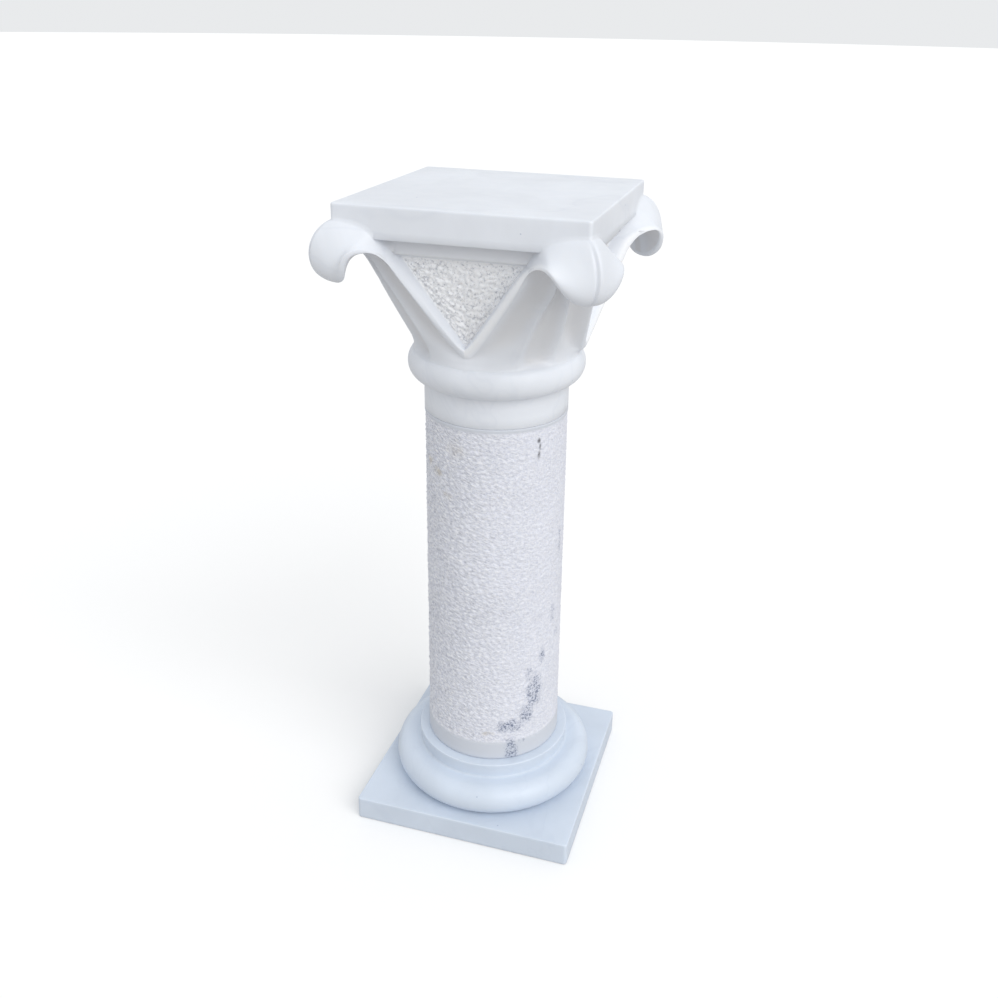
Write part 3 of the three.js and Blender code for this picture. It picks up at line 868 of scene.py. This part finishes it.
# Noise scales are in waves for each metre, and strengths run from 0 to 1.
POLISH = 0.42                 # roughness of the smooth marble
DULLER = 0.08
GLOSSIER = 0.05
CLOUD_SCALE = 6.0
CLOUD_LIGHT = 1.035
CLOUD_DARK = 0.955
THREAD_SCALE = 2.4
THREAD_WIDTH = 0.012
THREAD_STRENGTH = 0.05
SPECK_SCALE = 22.0
SPECK_CORE = 0.02
SPECK_EDGE = 0.036
SPECK_STRENGTH = 0.55
PORE_SCALE = 55.0
PORE_HEIGHT = 0.5             # heights in the bump are shares of its distance
SMEAR_SCALE = 40.0
GLOW = 0.12                   # how much light passes under the surface, and how far in metres
GLOW_REACH = (0.006, 0.0055, 0.005)
BUMP_STRENGTH = 0.3
BUMP_DISTANCE = 0.0006

TOOLED_ROUGHNESS = 0.5
TOOLED_GRAIN = 0.0028         # size of the grain, in metres
TOOLED_PIT_DARKENING = 0.1
PANEL_GRAIN = 0.004
PANEL_PIT_DARKENING = 0.6
GRAIN_HEIGHT = 2.5
GRAIN_ROUGHNESS = 0.2
GRAIN_LIGHT = 0.5
STROKE_HEIGHT = 7.0
STROKE_SHADE = 0.55
STROKE_LIGHT = 0.85
SHADER_CROSSING = 0.25        # radians in which two runs of strokes cross over at the back
PAINTED_SHADE_STRENGTH = 0.8
RIM_HIGHLIGHT_STRENGTH = 0.7
PANEL_STRENGTH = 0.9

PIT_SCALE = 330.0
BLOTCH_SCALE = 85.0
BLOTCH_SPREAD = 1.3           # how far the blotches push the edge of a stain out and in
WASH_STRENGTH = 0.3
DOT_STRENGTH = 0.9


class Nodes:
    """Short ways to add nodes to a material."""

    def __init__(self, name):
        self.material = bpy.data.materials.new(name)
        self.material.use_nodes = True
        self.tree = self.material.node_tree
        self.shader = self.tree.nodes["Principled BSDF"]
        self.place = self.add("ShaderNodeTexCoord").outputs["Object"]

    def add(self, kind, inputs=None, **settings):
        node = self.tree.nodes.new(kind)
        for key, value in settings.items():
            setattr(node, key, value)
        for key, value in (inputs or {}).items():
            self.feed(node.inputs[key], value)
        return node

    def feed(self, socket, value):
        if isinstance(value, bpy.types.NodeSocket):
            self.tree.links.new(value, socket)
        else:
            socket.default_value = value

    def math(self, operation, a, b=0.0, c=0.0):
        node = self.add("ShaderNodeMath", {0: a, 1: b, 2: c}, operation=operation)
        return node.outputs[0]

    def times(self, a, b):
        return self.math("MULTIPLY", a, b)

    def plus(self, a, b):
        return self.math("ADD", a, b)

    def minus(self, a, b):
        return self.math("SUBTRACT", a, b)

    def ramp(self, value, low, high, to_low=0.0, to_high=1.0):
        """Value between low and high spread smoothly from to_low to to_high."""
        node = self.add(
            "ShaderNodeMapRange",
            {"Value": value, "From Min": low, "From Max": high, "To Min": to_low, "To Max": to_high},
            interpolation_type="SMOOTHSTEP",
        )
        return node.outputs["Result"]

    def noise(self, scale, detail=3.0, rough=0.5, distortion=0.0, place=None):
        node = self.add(
            "ShaderNodeTexNoise",
            {
                "Vector": place or self.place,
                "Scale": scale,
                "Detail": detail,
                "Roughness": rough,
                "Distortion": distortion,
            },
        )
        return node.outputs["Fac"]

    def painted(self, label):
        """Values that the mesh holds under this name."""
        return self.add("ShaderNodeAttribute", attribute_name=label).outputs["Fac"]

    def blend(self, factor, a, b):
        node = self.add("ShaderNodeMix", data_type="RGBA")
        self.feed(node.inputs["Factor"], factor)
        self.feed(node.inputs["A"], a)
        self.feed(node.inputs["B"], b)
        return node.outputs["Result"]

    def tint(self, factor, colour):
        """Turns the stone toward a colour by a factor."""
        self.colour = self.blend(factor, self.colour, colour)


def shade_of(tint, by):
    """A tint made lighter or darker by a factor."""
    return tuple(min(channel * by, 1) for channel in tint[:3]) + (1,)


def marble(name, tint, roughness):
    """White marble with faint clouds, the odd faint thread and a few dark specks."""
    n = Nodes(name)
    cloud = n.ramp(n.noise(CLOUD_SCALE, 4.0, 0.55, 0.6), 0.3, 0.7)
    n.colour = n.blend(cloud, shade_of(tint, CLOUD_LIGHT), shade_of(tint, CLOUD_DARK))
    thread = n.math("ABSOLUTE", n.minus(n.noise(THREAD_SCALE, 4.0, 0.6, 1.2), 0.5))
    n.tint(n.times(n.ramp(thread, 0.0, THREAD_WIDTH, 1.0, 0.0), THREAD_STRENGTH), BLUE_TINT)
    specks = n.add("ShaderNodeTexVoronoi", {"Vector": n.place, "Scale": SPECK_SCALE, "Randomness": 1.0})
    speck = n.ramp(specks.outputs["Distance"], SPECK_CORE, SPECK_EDGE, 1.0, 0.0)
    n.tint(n.times(speck, SPECK_STRENGTH), BLUE_TINT)
    n.height = n.times(n.noise(PORE_SCALE, 3.0), PORE_HEIGHT)
    n.roughness = n.ramp(n.noise(SMEAR_SCALE), 0.3, 0.7, roughness - GLOSSIER, roughness + DULLER)
    n.shader.inputs["Subsurface Weight"].default_value = GLOW
    n.shader.inputs["Subsurface Radius"].default_value = GLOW_REACH
    n.shader.inputs["Subsurface Scale"].default_value = 1.0
    return n


def finish_marble(n):
    """Joins the colour, roughness and fine relief to the shader."""
    n.feed(n.shader.inputs["Base Color"], n.colour)
    n.feed(n.shader.inputs["Roughness"], n.roughness)
    bump = n.add(
        "ShaderNodeBump",
        {"Height": n.height, "Strength": BUMP_STRENGTH, "Distance": BUMP_DISTANCE},
    )
    n.feed(n.shader.inputs["Normal"], bump.outputs["Normal"])
    return n.material


def roughen(n, grain_size, pit_darkening):
    """Coarse grain where the mesh is marked as rough, with paler crests and darker pits."""
    rough = n.painted("rough")
    grains = n.noise(1 / grain_size, 3.0, 0.6)
    n.height = n.plus(n.height, n.times(n.times(grains, rough), GRAIN_HEIGHT))
    n.roughness = n.plus(n.roughness, n.times(rough, GRAIN_ROUGHNESS))
    n.tint(n.times(n.times(n.ramp(grains, 0.35, 0.7), rough), GRAIN_LIGHT), PANEL_TINT)
    n.tint(n.times(n.times(n.ramp(grains, 0.3, 0.5, 1.0, 0.0), rough), pit_darkening), PIT_TINT)


def stroke_noise(n, turn, height):
    """Noise drawn out along the strokes of the tool, at a turn round the shaft in radians."""
    slant = math.radians(STROKE_SLANT)
    around = n.times(turn, SHAFT_RADIUS)
    up = n.math("DIVIDE", height, MM)
    along = n.math("MULTIPLY_ADD", around, math.cos(slant), n.times(up, math.sin(slant)))
    across = n.math("MULTIPLY_ADD", around, -math.sin(slant), n.times(up, math.cos(slant)))
    stretched = n.add(
        "ShaderNodeCombineXYZ",
        {"X": n.math("DIVIDE", along, STROKE_LENGTH), "Y": n.math("DIVIDE", across, FINE_STROKE_WIDTH)},
    )
    return n.noise(1.0, 2.0, 0.6, 0.4, stretched.outputs["Vector"])


def stroke_relief(n):
    """Fine strokes all round the shaft. Two runs of them cross over at the back, where the turn jumps."""
    place = n.add("ShaderNodeSeparateXYZ", {"Vector": n.place})
    turn = n.math("ARCTAN2", place.outputs["X"], n.times(place.outputs["Y"], -1))
    one = stroke_noise(n, turn, place.outputs["Z"])
    other = stroke_noise(n, n.plus(turn, 2 * math.pi), place.outputs["Z"])
    share = n.ramp(turn, -math.pi, -math.pi + SHADER_CROSSING)
    return n.plus(n.times(one, share), n.times(other, n.minus(1, share)))


def add_strokes(n):
    """Fine strokes of the tool: painted shade in the pits and painted highlight on the crests, strongest
    where the tooling is boldest.
    """
    strokes = stroke_relief(n)
    painted_stroke_light_and_shade = n.painted("painted_stroke_light_and_shade")
    n.height = n.plus(n.height, n.times(n.times(strokes, n.painted("rough")), STROKE_HEIGHT))
    # Painted shade in the strokes' pits, then painted highlight on their crests
    n.tint(n.times(n.times(n.ramp(strokes, 0.34, 0.5, 1.0, 0.0), painted_stroke_light_and_shade), STROKE_SHADE), PIT_TINT)
    n.tint(n.times(n.times(n.ramp(strokes, 0.5, 0.66), painted_stroke_light_and_shade), STROKE_LIGHT), HIGHLIGHT_TINT)


def add_stains(n):
    """The marks in the shaft's stone: a sprinkle of blue specks, rusty patches and a black vein."""
    pits = n.noise(PIT_SCALE, 2.0, 0.6)
    blotch = n.noise(BLOTCH_SCALE, 3.0, 0.6)
    spread = n.math("MULTIPLY_ADD", n.minus(blotch, 0.5), BLOTCH_SPREAD, n.painted("blue"))
    blue = n.ramp(spread, 0.2, 1.05)
    n.tint(n.times(blue, WASH_STRENGTH), BLUE_TINT)
    n.tint(n.times(n.times(blue, n.ramp(pits, 0.49, 0.58)), DOT_STRENGTH), DARK_TINT)
    n.tint(n.times(n.painted("rust"), n.ramp(blotch, 0.4, 0.62, 0.15, 0.8)), RUST_TINT)
    n.tint(n.times(n.painted("black"), n.ramp(pits, 0.3, 0.5, 0.5, 1.0)), BLACK_TINT)


def smooth_marble():
    return finish_marble(marble("marble_smooth", BASE_TINT, POLISH))


def tooled_marble():
    n = marble("marble_tooled", SHAFT_TINT, TOOLED_ROUGHNESS)
    n.tint(n.minus(1, n.painted("rough")), BAND_TINT)
    roughen(n, TOOLED_GRAIN, TOOLED_PIT_DARKENING)
    add_strokes(n)
    add_stains(n)
    return finish_marble(n)


def carved_marble():
    n = marble("marble_carved", CAPITAL_TINT, POLISH)
    # Painted shade under the leaves and in the cove
    n.tint(n.times(n.painted("painted_shade"), PAINTED_SHADE_STRENGTH), PAINTED_SHADE_TINT)
    # Painted highlight along the leaves' rolled rims
    n.tint(n.times(n.painted("wear_and_painted_highlight"), RIM_HIGHLIGHT_STRENGTH), HIGHLIGHT_TINT)
    n.tint(n.times(n.painted("rough"), PANEL_STRENGTH), PANEL_TINT)
    roughen(n, PANEL_GRAIN, PANEL_PIT_DARKENING)
    return finish_marble(n)


def dress(piece, node, material):
    """Puts a piece with its material in the place of a solid."""
    piece.data.materials.append(material)
    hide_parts(node)
    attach(piece, "root")


# Room, light and camera. Lengths are in metres from here on.

FLOOR_RADIUS = 40
FLOOR_LEVEL = -0.0004         # just under the plinth
SKY_STRENGTH = 0.84
KEY_TOWARD = (0.653, -0.473, 0.591)
KEY_SPREAD = 50
KEY_STRENGTH = 1.33
KEY_COLOUR = (1.0, 0.985, 0.96)
LIGHT_DISTANCE = 3

# Camera measured from the photograph, in metres and radians, and in pixels of the 998 pixel image
IMAGE_SIZE = 998
CAMERA_PLACE = (0.44957, -1.42622, 1.24716)
CAMERA_TARGET = (0, 0, 0.5)
CAMERA_YAW = 0.019062
CAMERA_PITCH = 0.093071
CAMERA_ROLL = 0.008027
FOCAL_PIXELS = 1060.357
AXIS_PIXEL = (516.642, 412.324)
SENSOR_WIDTH = 36             # millimetres
VIEW_DISTANCE = 200


def floor():
    """A pale floor that is seen nearly white and throws back a duller light."""
    level = (0, 0, FLOOR_LEVEL)
    bpy.ops.mesh.primitive_circle_add(vertices=96, radius=FLOOR_RADIUS, fill_type="NGON", location=level)
    disc = bpy.context.object
    disc.name = "floor"
    n = Nodes("pale_floor")
    seen = n.add("ShaderNodeLightPath").outputs["Is Camera Ray"]
    n.feed(n.shader.inputs["Base Color"], n.blend(seen, BOUNCE_TINT, FLOOR_TINT))
    n.shader.inputs["Roughness"].default_value = 1.0
    n.shader.inputs["Specular IOR Level"].default_value = 0.0
    disc.data.materials.append(n.material)


def sky():
    world = bpy.data.worlds.new("studio")
    bpy.context.scene.world = world
    world.use_nodes = True
    back = world.node_tree.nodes["Background"]
    back.inputs["Color"].default_value = SKY_TINT
    back.inputs["Strength"].default_value = SKY_STRENGTH


def key_light():
    """Even soft light from one direction, as wide across as its spread in degrees."""
    data = bpy.data.lights.new("key", "SUN")
    data.angle = math.radians(KEY_SPREAD)
    data.energy = KEY_STRENGTH
    data.color = KEY_COLOUR
    light = bpy.data.objects.new("key", data)
    aim = Vector(KEY_TOWARD).normalized()
    light.location = aim * LIGHT_DISTANCE
    light.rotation_mode = "QUATERNION"
    light.rotation_quaternion = aim.to_track_quat("Z", "Y")
    bpy.context.scene.collection.objects.link(light)


def turned(a, b, angle):
    """Two perpendicular directions turned by an angle in their own plane."""
    return a * math.cos(angle) + b * math.sin(angle), b * math.cos(angle) - a * math.sin(angle)


def camera():
    place = Vector(CAMERA_PLACE)
    ahead = (Vector(CAMERA_TARGET) - place).normalized()
    right = ahead.cross(Vector((0, 0, 1))).normalized()
    up = right.cross(ahead)
    ahead, right = turned(ahead, right, CAMERA_YAW)
    ahead, up = turned(ahead, up, CAMERA_PITCH)
    right, up = turned(right, up, CAMERA_ROLL)
    data = bpy.data.cameras.new("camera")
    data.sensor_width = SENSOR_WIDTH
    data.lens = SENSOR_WIDTH * FOCAL_PIXELS / IMAGE_SIZE
    data.shift_x = (IMAGE_SIZE / 2 - AXIS_PIXEL[0]) / IMAGE_SIZE
    data.shift_y = (AXIS_PIXEL[1] - IMAGE_SIZE / 2) / IMAGE_SIZE
    data.clip_end = VIEW_DISTANCE
    seer = bpy.data.objects.new("camera", data)
    seer.matrix_world = Matrix((
        (right.x, up.x, -ahead.x, place.x),
        (right.y, up.y, -ahead.y, place.y),
        (right.z, up.z, -ahead.z, place.z),
        (0, 0, 0, 1),
    ))
    bpy.context.scene.collection.objects.link(seer)
    bpy.context.scene.camera = seer


camera()
floor()
sky()
key_light()
bpy.context.scene.view_settings.view_transform = "Standard"

dress(make_base(), "base", smooth_marble())
dress(make_shaft(), "shaft", tooled_marble())
dress(make_capital(), "capital", carved_marble())
